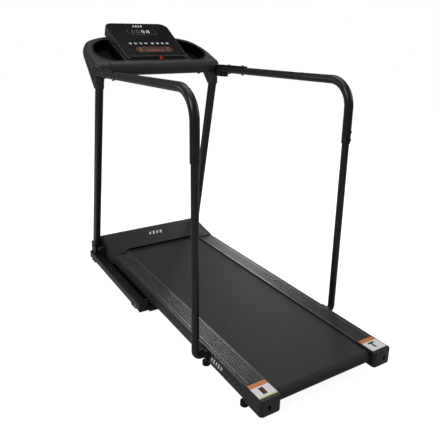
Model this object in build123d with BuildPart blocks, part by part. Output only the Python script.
from build123d import *
from math import cos, radians, sin
import os

os.makedirs("parts", exist_ok=True)

# Folding treadmill with long handrails. Millimetres, +Z up, +Y towards the console, +X to the
# runner's right. The origin is on the floor at the middle of the bounding box.

# ---------------------------------------------------------------- driving dimensions
overall_length = 1603.8        # rear of the deck to the far edge of the display housing
belt_gap = 420.0               # clear width between the foot rails
deck_width = 582.0
rail_top = 112.0               # height of the foot rails
rail_bottom = 60.0
cap_length = 90.0
hood_rear = 1266.0             # lengths along the deck, from its rear end
hood_front = 1500.0
hood_top = 152.0
roller_radius = 20.0
roller_height = 84.0
belt_thickness = 2.0
rear_roller_y = 40.0
front_roller_y = 1330.0
pivot_y = 1440.0               # folding axis
pivot_z = 84.0
pin_radius = 6.0
base_outer = 342.0             # outside face of the base tubes
base_tube_width = 45.0
base_tube_bottom = 10.0
base_tube_top = 48.0
base_tube_wall = 2.5
base_rear = 845.0
base_front = 1530.0
upright_x = 312.0
upright_foot_y = 1522.0        # where the leaning upright's axis would meet the floor
upright_lean = 13.0            # degrees, towards the runner
upright_width = 30.0
upright_depth = 45.0
upright_height = 1024.0
handrail_x = 332.0
handrail_z = 1037.0
handrail_front = 1228.0
post_y = 345.0
upper_tube_radius = 17.0
post_tube_radius = 14.0
tube_wall = 2.0
sleeve_end = 803.0
handrail_bend = 100.0
spigot_z = 82.0
spigot_tip_x = 296.0
console_y = 1262.0             # near edge of the console ring
console_z = 1042.0
console_tilt = 23.0
console_depth = 352.0
console_half_thickness = 30.0
shell_wall = 3.2
panel_tilt = 30.0
display_near = 54.0            # display housing, measured up the console's slope
display_far = 384.0
display_half_width = 165.0     # at its near edge
display_far_half = 179.0
display_near_height = 38.0
key_x = 8.0
key_v = 42.0
button_pitch = 28.0
button_radius = 8.0
button_first_x = 18.0
button_v = 128.0               # up the display panel from its near edge
wheel_radius = 22.0
wheel_y = 884.0
wheel_z = 23.0
fold_angle = 72.0
lock_radius = 4.0
lock_from_pivot = (-22.0, 14.0)
lock_y = pivot_y + lock_from_pivot[0]
lock_z = pivot_z + lock_from_pivot[1]
fold_cos = cos(radians(fold_angle))
fold_sin = sin(radians(fold_angle))
catch_y = pivot_y + lock_from_pivot[0] * fold_cos - lock_from_pivot[1] * fold_sin
catch_z = pivot_z + lock_from_pivot[0] * fold_sin + lock_from_pivot[1] * fold_cos


def ahead(distance):
    """Y of a point this far ahead of the deck's rear end."""
    return distance - overall_length / 2


def tilted_plane(origin, degrees):
    """A plane that slopes up, away from the runner."""
    slope = radians(degrees)
    return Plane(origin=origin, x_dir=(1, 0, 0), z_dir=(0, -sin(slope), cos(slope)))


def save(piece, name):
    """Label a finished piece and write its STEP file."""
    piece.part.label = name
    export_step(piece.part, f"parts/{name}.step")


def add_box(x_range, y_range, z_range, mode=Mode.ADD):
    """Add a block to the open part; y_range is measured from the deck's rear end."""
    corner = (x_range[0], ahead(y_range[0]), z_range[0])
    with Locations(corner):
        Box(x_range[1] - x_range[0], y_range[1] - y_range[0], z_range[1] - z_range[0],
            align=(Align.MIN, Align.MIN, Align.MIN), mode=mode)


def add_rod(start, direction, length, radius, mode=Mode.ADD):
    """Add a round bar to the open part."""
    with Locations(Plane(origin=start, z_dir=direction)):
        Cylinder(radius, length, align=(Align.CENTER, Align.CENTER, Align.MIN), mode=mode)


def side_pair(x_inner, x_outer):
    """The two x ranges of a mirrored pair."""
    return [(x_inner, x_outer), (-x_outer, -x_inner)]


deck_half = deck_width / 2
gap_half = belt_gap / 2
base_inner = base_outer - base_tube_width
lean_slope = sin(radians(upright_lean)) / cos(radians(upright_lean))
console = tilted_plane((0, ahead(console_y), console_z), console_tilt)


def console_point(x, v, height):
    """A point of the console's own frame: across, up the slope, above the mid plane."""
    return console.from_local_coords((x, v, height))


panel = tilted_plane(console_point(0, display_near, display_near_height), panel_tilt)


def upright_y(z):
    """Y of the upright's axis at a height."""
    return ahead(upright_foot_y) - z * lean_slope


# ---------------------------------------------------------------- base
cross_rear = (826.0, 856.0)
cross_front = (1498.0, 1530.0)
cross_top = 34.0
flange_x = (238.0, 300.0)      # flat plate along the inside of each base tube
flange_y = (912.0, 1499.0)
flange_z = (7.0, 11.0)
with BuildPart() as base_frame:
    for x_range in side_pair(base_inner, base_outer):
        add_box(x_range, (base_rear, base_front), (base_tube_bottom, base_tube_top))
    fillet(base_frame.edges().filter_by(Axis.Y), 6)
    for x_range in side_pair(base_inner + base_tube_wall, base_outer - base_tube_wall):
        add_box(x_range, (base_rear - 1, base_front + 1),
                (base_tube_bottom + base_tube_wall, base_tube_top - base_tube_wall), Mode.SUBTRACT)
    add_box((-base_inner, base_inner), cross_rear, (base_tube_bottom, cross_top))
    add_box((-base_inner, base_inner), cross_front, (base_tube_bottom, cross_top))
    for x_range in side_pair(*flange_x):
        add_box(x_range, flange_y, flange_z)
    for side in (1, -1):
        start = side * (base_inner - 1)
        add_rod((start, ahead(wheel_y), wheel_z), (side, 0, 0), base_tube_width + 2, 5.05,
                Mode.SUBTRACT)
save(base_frame, "base_frame")

plug_depth = 18.0
plug_inset = base_tube_wall + 0.1
end_cap_thickness = 5.0
with BuildPart() as base_end_caps:
    for x_range in side_pair(base_inner + plug_inset, base_outer - plug_inset):
        plug_z = (base_tube_bottom + plug_inset, base_tube_top - plug_inset)
        add_box(x_range, (base_rear, base_rear + plug_depth), plug_z)
        add_box(x_range, (base_front - plug_depth, base_front), plug_z)
    for x_range in side_pair(base_inner, base_outer):
        cap_z = (base_tube_bottom, base_tube_top)
        add_box(x_range, (base_rear - end_cap_thickness, base_rear), cap_z)
        add_box(x_range, (base_front, base_front + end_cap_thickness), cap_z)
save(base_end_caps, "base_end_caps")

with BuildPart() as base_feet:
    for x_range in side_pair(flange_x[1] + 1, base_outer - 3):
        add_box(x_range, (base_rear + 50, base_rear + 105), (0, base_tube_bottom))
        add_box(x_range, (base_front - 66, base_front - 6), (0, base_tube_bottom))
    fillet(base_feet.edges().filter_by(Axis.Z), 6)
save(base_feet, "base_feet")

# ---------------------------------------------------------------- uprights and their sockets
upright_half = upright_width / 2
upright_wall = 2.0
socket_bolt_radius = 3.5
socket_plate = 4.0
socket_y = (1474.0, 1534.0)
socket_top = 112.0
socket_bolts_yz = [(1498.0, 92.0), (1506.0, 62.0)]


def build_upright(side):
    """Leaning flat-sided tube, cut level where it stands on the base tube."""
    axis = (0, -sin(radians(upright_lean)), cos(radians(upright_lean)))
    foot = (side * upright_x, ahead(upright_foot_y), 0)
    with BuildPart() as upright:
        with BuildSketch(Plane(origin=foot, x_dir=(1, 0, 0), z_dir=axis)):
            RectangleRounded(upright_width, upright_depth, 8)
            RectangleRounded(upright_width - 2 * upright_wall, upright_depth - 2 * upright_wall, 6,
                             mode=Mode.SUBTRACT)
        extrude(amount=upright_height / cos(radians(upright_lean)))
        split(bisect_by=Plane.XY.offset(base_tube_top), keep=Keep.TOP)
        for y, z in socket_bolts_yz:
            add_rod((foot[0] - upright_half - 1, ahead(y), z), (1, 0, 0), upright_width + 2,
                    socket_bolt_radius,
                    Mode.SUBTRACT)
    return upright


upright_left = build_upright(-1)
save(upright_left, "upright_left")
upright_right = build_upright(1)
save(upright_right, "upright_right")

with BuildPart() as upright_sockets:
    for x_range in side_pair(upright_x + upright_half, upright_x + upright_half + socket_plate):
        add_box(x_range, socket_y, (base_tube_top, socket_top))
    for x_range in side_pair(upright_x - upright_half - socket_plate, upright_x - upright_half):
        add_box(x_range, (pivot_y - 34, socket_y[1]), (cross_top, socket_top))
    fillet(upright_sockets.edges().filter_by(Axis.X).group_by(Axis.Z)[-1], 14)
    for side in (1, -1):
        start = side * (upright_x - upright_half - socket_plate - 1)
        add_rod((start, ahead(pivot_y), pivot_z), (side, 0, 0), socket_plate + 2, pin_radius,
                Mode.SUBTRACT)
        for y, z in socket_bolts_yz:
            add_rod((start, ahead(y), z), (side, 0, 0), upright_width + 10,
                    socket_bolt_radius, Mode.SUBTRACT)
    add_rod((-upright_x, ahead(lock_y), lock_z), (1, 0, 0), upright_width, lock_radius + 0.05,
            Mode.SUBTRACT)
save(upright_sockets, "upright_sockets")

# ---------------------------------------------------------------- transport wheels
axle_radius = 5.0
wheel_inner = 272.0
wheel_outer = 294.0
wheel_fit = 0.05
with BuildPart() as pivot_pins:
    for side in (1, -1):
        start = (side * (wheel_inner - 3), ahead(wheel_y), wheel_z)
        add_rod(start, (side, 0, 0), base_outer - wheel_inner + 3, axle_radius)
        add_rod(start, (-side, 0, 0), 3, axle_radius + 4)
        add_rod((side * base_outer, ahead(wheel_y), wheel_z), (side, 0, 0), 4, axle_radius + 3)
        add_rod((side * 277, ahead(pivot_y), pivot_z), (side, 0, 0), 20, pin_radius)
save(pivot_pins, "pivot_pins")


def build_wheel(side):
    """Solid roller with a rounded tread and a bore that runs on the axle."""
    start = (side * wheel_inner, ahead(wheel_y), wheel_z)
    width = wheel_outer - wheel_inner
    with BuildPart() as wheel:
        add_rod(start, (side, 0, 0), width, wheel_radius)
        fillet(wheel.edges(), 3)
        add_rod(start, (side, 0, 0), width, axle_radius + wheel_fit, Mode.SUBTRACT)
    return wheel


transport_wheel_left = build_wheel(-1)
save(transport_wheel_left, "transport_wheel_left")
transport_wheel_right = build_wheel(1)
save(transport_wheel_right, "transport_wheel_right")

# ---------------------------------------------------------------- handrails
sleeve_overlap = 62.0
spigot_bend = 24.0
sleeve_bolt_z = (818.0, 848.0)
sleeve_hole_radius = 3.1
tongue_hole_radius = 4.1
tongue_length = 200.0
tongue_bolts = (62.0, 178.0)


def build_upper_rail(side):
    """Level tube from the bracket, bent down to the sleeve that takes the lower post."""
    x = side * handrail_x
    with BuildPart() as rail:
        with BuildLine() as route:
            FilletPolyline((x, ahead(handrail_front), handrail_z),
                           (x, ahead(post_y), handrail_z),
                           (x, ahead(post_y), sleeve_end), radius=handrail_bend)
        with BuildSketch(Plane(origin=route.line @ 0, z_dir=route.line % 0)):
            Circle(upper_tube_radius)
            Circle(upper_tube_radius - tube_wall, mode=Mode.SUBTRACT)
        sweep()
        for z in sleeve_bolt_z:
            add_rod((x, ahead(post_y), z), (0, -1, 0), 20, sleeve_hole_radius,
                    Mode.SUBTRACT)
        for y in tongue_bolts:
            add_rod((x, ahead(handrail_front - y), handrail_z - 20), (0, 0, 1), 40,
                    tongue_hole_radius, Mode.SUBTRACT)
    return rail


def build_post(side):
    """Lower post; its foot turns inwards and seats in the deck's saddle."""
    x = side * handrail_x
    with BuildPart() as post:
        with BuildLine() as route:
            FilletPolyline((x, ahead(post_y), sleeve_end + sleeve_overlap),
                           (x, ahead(post_y), spigot_z),
                           (side * spigot_tip_x, ahead(post_y), spigot_z), radius=spigot_bend)
        with BuildSketch(Plane(origin=route.line @ 0, z_dir=route.line % 0)):
            Circle(post_tube_radius)
            Circle(post_tube_radius - tube_wall, mode=Mode.SUBTRACT)
        sweep()
        for z in sleeve_bolt_z:
            add_rod((x, ahead(post_y), z), (0, -1, 0), 20, sleeve_hole_radius,
                    Mode.SUBTRACT)
    return post


handrail_left = build_upper_rail(-1)
save(handrail_left, "handrail_left")
handrail_right = build_upper_rail(1)
save(handrail_right, "handrail_right")
post_left = build_post(-1)
save(post_left, "post_left")
post_right = build_post(1)
save(post_right, "post_right")

rail_crown = handrail_z + upper_tube_radius
with BuildPart() as frame_bolts:
    for side in (1, -1):
        outer = side * (upright_x + upright_half + socket_plate)
        for y, z in socket_bolts_yz:
            add_rod((outer, ahead(y), z), (side, 0, 0), 4, 6.5)
            add_rod((outer, ahead(y), z), (-side, 0, 0), upright_width + 2 * socket_plate,
                    socket_bolt_radius)
        for z in sleeve_bolt_z:
            seat = (side * handrail_x, ahead(post_y) - upper_tube_radius, z)
            add_rod(seat, (0, 1, 0), 8, 3)
            add_rod(seat, (0, -1, 0), 6, 6.5)
        for y in tongue_bolts:
            under = (side * handrail_x, ahead(handrail_front - y), handrail_z - upper_tube_radius)
            add_rod(under, (0, 0, 1), 2 * upper_tube_radius + 9, 4)
            add_rod(under, (0, 0, -1), 5, 7)
            add_rod((under[0], under[1], rail_crown + 5), (0, 0, 1), 2.5, 6.5)
save(frame_bolts, "frame_bolts")

# ---------------------------------------------------------------- deck frame and running surface
frame_x = (241.0, 281.0)
frame_z = (66.0, 108.0)
arm_x = (281.0, 286.0)
arm_y = (1300.0, 1474.0)
loop_inner = roller_radius + 0.3
loop_outer = loop_inner + belt_thickness
belt_half = 206.0
board_top = roller_height + roller_radius
board_thickness = 16.0
beam_z = (67.0, 84.0)
beam_rows = (130.0, 500.0, 870.0, 1240.0)
beam_width = 30.0
block_z = (70.0, 98.0)
axle_end = 274.0
with BuildPart() as deck_frame:
    for x_range in side_pair(*frame_x):
        add_box(x_range, (62, 1400), frame_z)
        add_box((x_range[0] + 2, x_range[1] - 2), (60, 1402), (frame_z[0] + 2, frame_z[1] - 2),
                Mode.SUBTRACT)
    for y in beam_rows:
        add_box((-frame_x[0], frame_x[0]), (y - beam_width / 2, y + beam_width / 2), beam_z)
    for x_range in side_pair(*arm_x):
        add_box(x_range, arm_y, (62, 106))
    add_box((-arm_x[0], arm_x[0]), (1458, 1474), (62, 100))
    for x_range in side_pair(244, axle_end):
        add_box(x_range, (24, 62), block_z)
    for side in (1, -1):
        add_rod((side * (arm_x[0] - 1), ahead(pivot_y), pivot_z), (side, 0, 0), 8,
                pin_radius + 0.05, Mode.SUBTRACT)
        for y in (rear_roller_y, front_roller_y):
            add_rod((side * 230, ahead(y), roller_height), (side, 0, 0), axle_end - 229, axle_radius + 1,
                    Mode.SUBTRACT)
    add_rod((-arm_x[1] - 1, ahead(catch_y), catch_z), (1, 0, 0), 8, lock_radius + 0.3,
            Mode.SUBTRACT)
save(deck_frame, "deck_frame")

with BuildPart() as running_board:
    add_box((-236, 236), (96, 1272), (board_top - board_thickness, board_top))
save(running_board, "running_board")

with BuildPart() as board_cushions:
    for y in beam_rows:
        for x_range in side_pair(120, 165):
            add_box(x_range, (y - 11, y + 11), (beam_z[1], board_top - board_thickness))
save(board_cushions, "board_cushions")

loop_length = front_roller_y - rear_roller_y
loop_middle = ahead((front_roller_y + rear_roller_y) / 2)
with BuildPart() as running_belt:
    with BuildSketch(Plane.YZ.offset(-belt_half)):
        with Locations((loop_middle, roller_height)):
            SlotCenterToCenter(loop_length, 2 * loop_outer)
            SlotCenterToCenter(loop_length, 2 * loop_inner, mode=Mode.SUBTRACT)
    extrude(amount=2 * belt_half)
save(running_belt, "running_belt")


def build_roller(y):
    """Steel tube with end plates, bored for the fixed axle."""
    centre = ahead(y)
    with BuildPart() as roller:
        add_rod((-belt_half - 1, centre, roller_height), (1, 0, 0), 2 * belt_half + 2, roller_radius)
        add_rod((-belt_half + 14, centre, roller_height), (1, 0, 0), 2 * belt_half - 28,
                roller_radius - 2.5, Mode.SUBTRACT)
        add_rod((-belt_half - 2, centre, roller_height), (1, 0, 0), 2 * belt_half + 4,
                axle_radius + 1.05, Mode.SUBTRACT)
    return roller


front_roller = build_roller(front_roller_y)
save(front_roller, "front_roller")
rear_roller = build_roller(rear_roller_y)
save(rear_roller, "rear_roller")

with BuildPart() as roller_axles:
    for y in (rear_roller_y, front_roller_y):
        add_rod((-axle_end, ahead(y), roller_height), (1, 0, 0), 2 * axle_end, axle_radius + 1)
save(roller_axles, "roller_axles")

with BuildPart() as belt_adjusters:
    for side in (1, -1):
        add_rod((side * 259, ahead(14), roller_height), (0, 1, 0), 10, 4)
        add_rod((side * 259, ahead(10), roller_height), (0, 1, 0), 6, 6)
save(belt_adjusters, "belt_adjusters")

# ---------------------------------------------------------------- foot rails and rear caps
rail_wall = 3.4
rail_front = 1298.0
groove_width = 3.4
groove_depth = 2.0
groove_x = (226.0, 236.0, 246.0, 256.0, 266.0)
edge_groove_x = 283.0


screw_rows = (112.0, 138.0, 165.0, 640.0, 1120.0)
screw_z = 84.0
screw_radius = 4.0


def build_foot_rail(side):
    """Ribbed channel that covers the side of the deck."""
    with BuildPart() as rail:
        with BuildSketch(Plane.XZ.offset(-ahead(cap_length))):
            with BuildLine():
                Polyline((gap_half, rail_top), (deck_half, rail_top), (deck_half, rail_bottom),
                         (deck_half - 10, rail_bottom), (deck_half - 10, rail_bottom + rail_wall),
                         (deck_half - rail_wall, rail_bottom + rail_wall),
                         (deck_half - rail_wall, rail_top - rail_wall),
                         (gap_half + rail_wall, rail_top - rail_wall),
                         (gap_half + rail_wall, board_top + 1), (gap_half, board_top + 1),
                         close=True)
            make_face()
            for x in groove_x:
                with Locations((x, rail_top)):
                    Rectangle(groove_width, 2 * groove_depth, mode=Mode.SUBTRACT)
            with Locations((edge_groove_x, rail_top), (deck_half, rail_top - 14)):
                Rectangle(3.4, 3.4, mode=Mode.SUBTRACT)
            if side < 0:
                mirror(about=Plane.YZ, mode=Mode.REPLACE)
        extrude(amount=-(rail_front - cap_length))
        for y in screw_rows:
            add_rod((side * (deck_half - rail_wall - 1), ahead(y), screw_z), (side, 0, 0), 6,
                    screw_radius, Mode.SUBTRACT)
    return rail


foot_rail_left = build_foot_rail(-1)
save(foot_rail_left, "foot_rail_left")
foot_rail_right = build_foot_rail(1)
save(foot_rail_right, "foot_rail_right")

with BuildPart() as rail_screws:
    for side in (1, -1):
        for y in screw_rows:
            add_rod((side * (deck_half - rail_wall), ahead(y), screw_z), (side, 0, 0),
                    rail_wall + 1.4, screw_radius)
save(rail_screws, "rail_screws")


def build_rear_cap(side):
    """Moulded end cap, open towards the foot rail, with a hole for the belt adjuster."""
    outer_x = deck_half + 2
    wide = sorted((side * gap_half, side * outer_x))
    inside = sorted((side * (gap_half + 3.5), side * (outer_x - 3.5)))
    with BuildPart() as cap:
        add_box(wide, (0, cap_length), (50, rail_top + 1.5))
        fillet(cap.edges().filter_by(Axis.Z).group_by(Axis.Y)[0], 14)
        fillet(cap.faces().sort_by(Axis.Z)[-1].edges().group_by(Axis.Y)[0:-1], 4)
        fillet(cap.faces().sort_by(Axis.Z)[0].edges().group_by(Axis.Y)[0:-1], 7)
        add_box(inside, (14, cap_length + 1), (55, rail_top - 2), Mode.SUBTRACT)
        for z, radius in ((roller_height, 6.5), (roller_height - 7, 4), (roller_height - 10, 4)):
            add_rod((side * 259, ahead(-1), z), (0, 1, 0), 16, radius, Mode.SUBTRACT)
        add_rod((side * (gap_half - 1), ahead(rear_roller_y), roller_height), (side, 0, 0), 6,
                axle_radius + 1.5, Mode.SUBTRACT)
    return cap


rear_cap_left = build_rear_cap(-1)
save(rear_cap_left, "rear_cap_left")
rear_cap_right = build_rear_cap(1)
save(rear_cap_right, "rear_cap_right")

foot_x = 262.0
foot_rows = (130.0, 384.0)
with BuildPart() as deck_feet:
    for side in (1, -1):
        for y in foot_rows:
            add_rod((side * foot_x, ahead(y), 0), (0, 0, 1), 16, 15)
            add_rod((side * foot_x, ahead(y), 16), (0, 0, 1), frame_z[0] - 16, 8)
save(deck_feet, "deck_feet")

saddle_x = (deck_half, 303.0)
slot_half = post_tube_radius + 0.8
with BuildPart() as post_saddles:
    for x_range in side_pair(*saddle_x):
        add_box(x_range, (post_y - 28, post_y + 28), (66, 108))
    fillet(post_saddles.edges().filter_by(Axis.X).group_by(Axis.Z)[-1], 12)
    for side in (1, -1):
        start = (side * (saddle_x[0] + 3), ahead(post_y), spigot_z)
        add_rod(start, (side, 0, 0), 30, slot_half, Mode.SUBTRACT)
    for x_range in side_pair(saddle_x[0] + 3, saddle_x[1] + 1):
        add_box(x_range, (post_y - slot_half, post_y + slot_half), (60, spigot_z), Mode.SUBTRACT)
save(post_saddles, "post_saddles")

# ---------------------------------------------------------------- motor bay
hood_wall = 3.0
hood_lip = 116.0               # height of the hood's rear edge over the foot rails
notch_depth = 28.0             # its rear edge stands back from the belt
hood_bottom = 46.0


def hood_solid(half_width, inset):
    """Side profile of the hood as a solid bar, drawn in by inset."""
    with BuildPart() as bar:
        with BuildSketch(Plane.YZ.offset(-half_width)) as profile:
            with BuildLine():
                Polyline((ahead(hood_rear) - 4 * inset, rail_top + 0.6 - 3 * inset),
                         (ahead(hood_rear) - 4 * inset, hood_lip - 1.2 * inset),
                         (ahead(1448), hood_top - inset),
                         (ahead(1486) - 0.6 * inset, hood_top - 6 - inset),
                         (ahead(hood_front) - inset, hood_top - 32 - 0.5 * inset),
                         (ahead(hood_front) - inset, hood_bottom - inset),
                         (ahead(rail_front + 2) - inset, hood_bottom - inset),
                         (ahead(rail_front + 2) - inset, rail_top + 0.6 - 3 * inset), close=True)
            make_face()
            fillet(profile.vertices().sort_by(Axis.Y)[-2:], 12)
        extrude(amount=2 * half_width)
    return bar.part


inlet_x = (-226.0, -186.0)
inlet_z = (66.0, 96.0)
rocker_x = (-172.0, -150.0)
rocker_z = (68.0, 94.0)
with BuildPart() as motor_hood:
    add(hood_solid(deck_half, 0))
    add(hood_solid(deck_half - hood_wall, hood_wall), mode=Mode.SUBTRACT)
    with BuildSketch(Plane.XY.offset(rail_top)) as notch:
        with BuildLine():
            Polyline((-gap_half - 26, ahead(hood_rear - 1)), (-gap_half, ahead(hood_rear + notch_depth)),
                     (gap_half, ahead(hood_rear + notch_depth)), (gap_half + 26, ahead(hood_rear - 1)),
                     close=True)
        make_face()
        fillet(notch.vertices().group_by(Axis.Y)[-1], 30)
    extrude(amount=40, mode=Mode.SUBTRACT)
    add_box(inlet_x, (hood_front - 8, hood_front + 4), inlet_z, Mode.SUBTRACT)
    add_box(rocker_x, (hood_front - 8, hood_front + 4), rocker_z, Mode.SUBTRACT)
    for side in (1, -1):
        add_rod((side * (deck_half - 6), ahead(pivot_y), pivot_z), (side, 0, 0), 8, 9,
                Mode.SUBTRACT)
    add_rod((-deck_half - 1, ahead(catch_y), catch_z), (1, 0, 0), 8, lock_radius + 1,
            Mode.SUBTRACT)
save(motor_hood, "motor_hood")

with BuildPart() as belly_pan:
    add_box((-deck_half + 3.2, deck_half - 3.2), (rail_front + 6, hood_front - 3.4),
            (hood_bottom, hood_bottom + 3))
save(belly_pan, "belly_pan")

motor_y = 1406.0
motor_z = 91.0
motor_radius = 37.0
motor_x = (-150.0, 40.0)
shaft_radius = 6.0
pulley_x = (-238.0, -220.0)
motor_pulley_radius = 15.0
roller_pulley_radius = 30.0
shaft_fit = 0.05
with BuildPart() as drive_motor:
    add_rod((motor_x[0], ahead(motor_y), motor_z), (1, 0, 0), motor_x[1] - motor_x[0], motor_radius)
    fillet(drive_motor.edges(), 4)
    add_rod((motor_x[0] - 8, ahead(motor_y), motor_z), (1, 0, 0), 10, 16)
    add_box((motor_x[0] + 20, motor_x[1] - 20), (motor_y - 30, motor_y + 30), (hood_bottom + 3, 62))
    add_rod((motor_x[0] - 9, ahead(motor_y), motor_z), (1, 0, 0), 60, shaft_radius + shaft_fit,
            Mode.SUBTRACT)
save(drive_motor, "drive_motor")

with BuildPart() as motor_pulley:
    add_rod((pulley_x[0], ahead(motor_y), motor_z), (1, 0, 0), pulley_x[1] - pulley_x[0],
            motor_pulley_radius)
    add_rod((pulley_x[1], ahead(motor_y), motor_z), (1, 0, 0), motor_x[0] + 40 - pulley_x[1],
            shaft_radius)
save(motor_pulley, "motor_pulley")

with BuildPart() as roller_pulley:
    add_rod((pulley_x[0], ahead(front_roller_y), roller_height), (1, 0, 0),
            pulley_x[1] - pulley_x[0], roller_pulley_radius)
    add_rod((pulley_x[1], ahead(front_roller_y), roller_height), (1, 0, 0),
            -belt_half - 1 - pulley_x[1], 12)
    add_rod((pulley_x[0] - 1, ahead(front_roller_y), roller_height), (1, 0, 0), 60,
            axle_radius + 1.05, Mode.SUBTRACT)
save(roller_pulley, "roller_pulley")


def belt_outline(growth):
    """Solid inside a belt run round the two drive pulleys, grown by a clearance."""
    with BuildPart() as wrap:
        with BuildSketch(Plane.YZ.offset(pulley_x[0] + 1)):
            with Locations((ahead(front_roller_y), roller_height)):
                Circle(roller_pulley_radius + growth)
            with Locations((ahead(motor_y), motor_z)):
                Circle(motor_pulley_radius + growth)
            make_hull()
        extrude(amount=pulley_x[1] - pulley_x[0] - 2)
    return wrap


belt_void = belt_outline(0.3)
with BuildPart() as drive_belt:
    add(belt_outline(3.3))
    add(belt_void, mode=Mode.SUBTRACT)
save(drive_belt, "drive_belt")

with BuildPart() as motor_controller:
    add_box((90, 210), (1376, 1446), (hood_bottom + 3, 78))
    for row in range(9):
        fin_x = 96 + 13 * row
        add_box((fin_x, fin_x + 3), (1380, 1442), (78, 96))
save(motor_controller, "motor_controller")

with BuildPart() as power_entry:
    for x_range, z_range, depth in ((inlet_x, inlet_z, 24), (rocker_x, rocker_z, 20)):
        add_box(x_range, (hood_front - depth, hood_front + 1), z_range)
        add_box((x_range[0] + 3, x_range[1] - 3), (hood_front - depth + 4, hood_front + 2),
                (z_range[0] + 3, z_range[1] - 3), Mode.SUBTRACT)
save(power_entry, "power_entry")

rocker_pivot = (hood_front - 5.0, (rocker_z[0] + rocker_z[1]) / 2)
rocker_half = 8.2
with BuildPart() as power_switch:
    with BuildSketch(Plane.YZ.offset(rocker_x[0] + 3.4)):
        with BuildLine():
            y, z = ahead(rocker_pivot[0]), rocker_pivot[1]
            Polyline((y, z - rocker_half), (y + 3.5, z - rocker_half), (y + 5.5, z),
                     (y + 7.5, z + rocker_half), (y + 3, z + rocker_half), (y - 3, z), close=True)
        make_face()
    extrude(amount=rocker_x[1] - rocker_x[0] - 6.8)
save(power_switch, "power_switch")

# ---------------------------------------------------------------- fold lock
lock_face = -(upright_x - upright_half)
with BuildPart() as lock_housing:
    add_rod((lock_face, ahead(lock_y), lock_z), (-1, 0, 0), 14, 9)
    add_rod((lock_face, ahead(lock_y), lock_z), (-1, 0, 0), 14, lock_radius + 0.05, Mode.SUBTRACT)
save(lock_housing, "lock_housing")

with BuildPart() as lock_knob:
    add_rod((lock_face + 5, ahead(lock_y), lock_z), (-1, 0, 0), 22, lock_radius)
    add_rod((lock_face - 15, ahead(lock_y), lock_z), (-1, 0, 0), 18, 11)
    fillet(lock_knob.edges().group_by(Axis.X)[0], 4)
save(lock_knob, "lock_knob")

# ---------------------------------------------------------------- console ring
rim = 29.0
outline_corners = [(346.0, 0.0, 46.0), (344.0, 190.0, 350.0), (296.0, 296.0, 110.0),
                   (190.0, console_depth, 240.0)]      # across, up the slope, corner radius
tray_corners = [(182.0, 44.0, 10.0), (262.0, 44.0, 88.0), (302.0, 130.0, 104.0),
                (282.0, 222.0, 88.0), (214.0, 284.0, 60.0), (182.0, 284.0, 6.0)]


def rounded_outline(corners, growth):
    """Face with the given corners rounded, then grown or drawn in."""
    with BuildSketch() as outline:
        with BuildLine():
            Polyline(*[(x, v) for x, v, radius in corners], close=True)
        make_face()
        for x, v, radius in corners:
            fillet(outline.vertices().sort_by_distance((x, v))[0], radius)
        if growth:
            offset(amount=growth)
    return outline.sketch


def ring_solid(inset):
    """The console's rounded outline as a solid with full-round rims, drawn in by inset."""
    mirrored = [(-x, v, radius) for x, v, radius in reversed(outline_corners)]
    half_thickness = console_half_thickness - inset
    with BuildPart() as ring:
        with BuildSketch(console.offset(-half_thickness)):
            add(rounded_outline(outline_corners + mirrored, -inset))
        extrude(amount=2 * half_thickness)
        fillet(ring.edges().filter_by(lambda edge: abs(console.to_local_coords(edge).center().Z)
                                      > half_thickness - 1), rim - inset)
    return ring.part


def tray_solid(side, growth, low, high):
    """Tray outline extruded between two heights of the console frame."""
    with BuildPart() as block:
        with BuildSketch(console.offset(low)):
            add(rounded_outline(tray_corners, growth))
            if side < 0:
                mirror(about=Plane.YZ, mode=Mode.REPLACE)
        extrude(amount=high - low)
    return block.part


def upright_void(side, margin):
    """Solid that clears an upright by a margin."""
    axis = (0, -sin(radians(upright_lean)), cos(radians(upright_lean)))
    foot = (side * upright_x, ahead(upright_foot_y), 0)
    with BuildPart() as void:
        with BuildSketch(Plane(origin=foot, x_dir=(1, 0, 0), z_dir=axis)):
            RectangleRounded(upright_width + 2 * margin, upright_depth + 2 * margin, 8 + margin)
        extrude(amount=upright_height / cos(radians(upright_lean)) + margin)
    return void.part


ring_outer = ring_solid(0)
ring_inner = ring_solid(shell_wall)
top = console_half_thickness
display_opening_v = (66.0, 330.0)
with BuildPart() as console_upper:
    add(ring_outer)
    add(ring_inner, mode=Mode.SUBTRACT)
    split(bisect_by=console, keep=Keep.TOP)
    for side in (1, -1):
        add(tray_solid(side, 0, 0.1, top + 2), mode=Mode.SUBTRACT)
    with BuildSketch(console.offset(top - 8)):
        with Locations((0, (display_opening_v[0] + display_opening_v[1]) / 2)):
            Rectangle(300, display_opening_v[1] - display_opening_v[0])
    extrude(amount=12, mode=Mode.SUBTRACT)
    add_rod(console_point(key_x, key_v, top - 8), console.z_dir, 12, 7, Mode.SUBTRACT)
save(console_upper, "console_upper")

with BuildPart() as console_lower:
    add(ring_outer)
    add(ring_inner, mode=Mode.SUBTRACT)
    split(bisect_by=console, keep=Keep.BOTTOM)
    for side in (1, -1):
        add(upright_void(side, 0.2), mode=Mode.SUBTRACT)
save(console_lower, "console_lower")

neck_z = 962.0
with BuildPart() as console_necks:
    for side in (1, -1):
        with BuildSketch(Plane.XY.offset(neck_z)):
            with Locations((side * (upright_x + 0.5), upright_y(neck_z))):
                RectangleRounded(upright_width + 7, upright_depth + 9, 10)
        with BuildSketch(console.offset(-12)):
            with Locations((side * 312, 104)):
                RectangleRounded(46, 196, 18)
        loft()
    add(ring_outer, mode=Mode.SUBTRACT)
    for side in (1, -1):
        add(upright_void(side, 0.2), mode=Mode.SUBTRACT)
save(console_necks, "console_necks")

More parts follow.
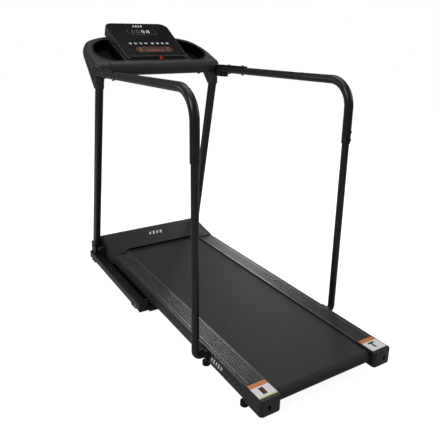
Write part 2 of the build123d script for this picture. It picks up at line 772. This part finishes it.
arm_reach = 1290.0
arm_z = (handrail_z - 36, rail_crown + 5)
with BuildPart() as rail_brackets:
    for x_range in side_pair(handrail_x - 12, handrail_x + 12):
        add_box(x_range, (handrail_front - tongue_length, handrail_front),
                (rail_crown - 4, arm_z[1]))
    for x_range in side_pair(handrail_x - 17, handrail_x + 13):
        add_box(x_range, (handrail_front, arm_reach), arm_z)
    fillet(rail_brackets.edges().filter_by(Axis.Y).group_by(Axis.Z)[0], 6)
    for x_range in side_pair(handrail_x - 10, handrail_x + 10):
        add_box(x_range, (handrail_front - 34, handrail_front),
                (arm_z[0], handrail_z - upper_tube_radius))
    for side in (1, -1):
        add_rod((side * handrail_x, ahead(handrail_front), handrail_z), (0, -1, 0),
                tongue_length, upper_tube_radius + 0.1, Mode.SUBTRACT)
        for y in tongue_bolts:
            add_rod((side * handrail_x, ahead(handrail_front - y), handrail_z), (0, 0, 1), 40,
                    tongue_hole_radius, Mode.SUBTRACT)
        add(upright_void(side, 0), mode=Mode.SUBTRACT)
    add(ring_outer, mode=Mode.SUBTRACT)
    add(console_necks.part, mode=Mode.SUBTRACT)
save(rail_brackets, "rail_brackets")

grip_half = 264.0
grip_outer = 34.5
with BuildPart() as front_grip:
    with BuildSketch(Plane(origin=console_point(-grip_half, rim, 0), x_dir=console.y_dir,
                           z_dir=(1, 0, 0))):
        Circle(grip_outer)
        Circle(console_half_thickness + 0.2, mode=Mode.SUBTRACT)
        with Locations((grip_outer, 0)):
            Rectangle(2 * grip_outer, 3 * grip_outer, mode=Mode.SUBTRACT)
    extrude(amount=2 * grip_half)
save(front_grip, "front_grip")

tray_wall = 2.4
tray_floor = -16.0


def build_tray(side):
    """Accessory tray: a cup with a flange that rests on the console's top."""
    with BuildPart() as tray:
        add(tray_solid(side, -0.3, tray_floor, top))
        add(tray_solid(side, 5, top, top + 2.2))
        add(tray_solid(side, -tray_wall, tray_floor + tray_wall, top + 3), mode=Mode.SUBTRACT)
    return tray


tray_left = build_tray(-1)
save(tray_left, "tray_left")
tray_right = build_tray(1)
save(tray_right, "tray_right")

# ---------------------------------------------------------------- display
panel_length = (display_far - display_near) / cos(radians(panel_tilt - console_tilt))
housing_wall = 3.0


def display_plan(inset, near, far):
    """Trapezoid plan of the display, wider at its far edge, with round far corners."""
    widening = (display_far_half - display_half_width) / (display_far - display_near)
    near_half = display_half_width - inset
    far_half = near_half + widening * (far - near)
    with BuildSketch() as plan:
        with BuildLine():
            Polyline((-near_half, near), (near_half, near), (far_half, far), (-far_half, far), close=True)
        make_face()
        fillet(plan.vertices().group_by(Axis.Y)[-1], 46 - inset)
        fillet(plan.vertices().group_by(Axis.Y)[0], 14 - inset)
    return plan.sketch


def housing_solid(inset, base, lower):
    """Display housing's plan, raised from the ring's top and cut by the sloping panel."""
    with BuildPart() as block:
        with BuildSketch(console.offset(base)):
            add(display_plan(inset, display_near + inset, display_far - inset))
        extrude(amount=74)
        split(bisect_by=panel.offset(-lower), keep=Keep.BOTTOM)
    return block.part


def button_places():
    """Button centres in the panel's own frame."""
    right = [button_first_x + button_pitch * step for step in range(4)]
    return [-x for x in reversed(right)] + right


lens_thickness = 1.6
ledge_height = 7.0
housing_inner = housing_solid(housing_wall, top - 1, housing_wall)
with BuildPart() as display_housing:
    add(housing_solid(0, top, 0))
    add(ring_outer, mode=Mode.SUBTRACT)
    add(housing_inner, mode=Mode.SUBTRACT)
    for x in button_places():
        add_rod(panel.from_local_coords((x, button_v, -8)), panel.z_dir, 12, button_radius + 0.3,
                Mode.SUBTRACT)
    with BuildSketch(panel):
        with Locations((0, 6)):
            Rectangle(2 * display_half_width - 34, 5)
    extrude(amount=ledge_height)
save(display_housing, "display_housing")

with BuildPart() as display_lens:
    with BuildSketch(panel):
        add(display_plan(5, 12, panel_length - 6))
    extrude(amount=lens_thickness)
    for x in button_places():
        add_rod(panel.from_local_coords((x, button_v, -1)), panel.z_dir, 5, button_radius + 0.3,
                Mode.SUBTRACT)
save(display_lens, "display_lens")

with BuildPart() as display_board:
    with BuildSketch(panel.offset(-14)):
        with Locations((0, panel_length / 2)):
            Rectangle(270, panel_length - 70)
    extrude(amount=1.6)
save(display_board, "display_board")

button_names = ["incline_down", "speed_down", "mode", "start", "stop", "program", "speed_up",
                "incline_up"]
button_rise = 1.4
for name, x in zip(button_names, button_places()):
    with BuildPart() as button:
        add_rod(panel.from_local_coords((x, button_v, -8)), panel.z_dir,
                8 + lens_thickness + button_rise, button_radius)
        fillet(button.edges().filter_by(GeomType.CIRCLE).sort_by(Axis.Z)[-1], 0.6)
    save(button, f"button_{name}")

with BuildPart() as key_socket:
    add_rod(console_point(key_x, key_v, top), console.z_dir, 3, 10.5)
    add_rod(console_point(key_x, key_v, top - 14), console.z_dir, 14, 6.8)
    add_rod(console_point(key_x, key_v, top - 12), console.z_dir, 16, 4.3, Mode.SUBTRACT)
save(key_socket, "key_socket")

with BuildPart() as safety_key:
    add_rod(console_point(key_x, key_v, top - 10), console.z_dir, 14, 4)
    add_rod(console_point(key_x, key_v, top + 3.4), console.z_dir, 9, 9.5)
    fillet(safety_key.edges().filter_by(GeomType.CIRCLE).sort_by(Axis.Z)[-1], 2.5)
save(safety_key, "safety_key")
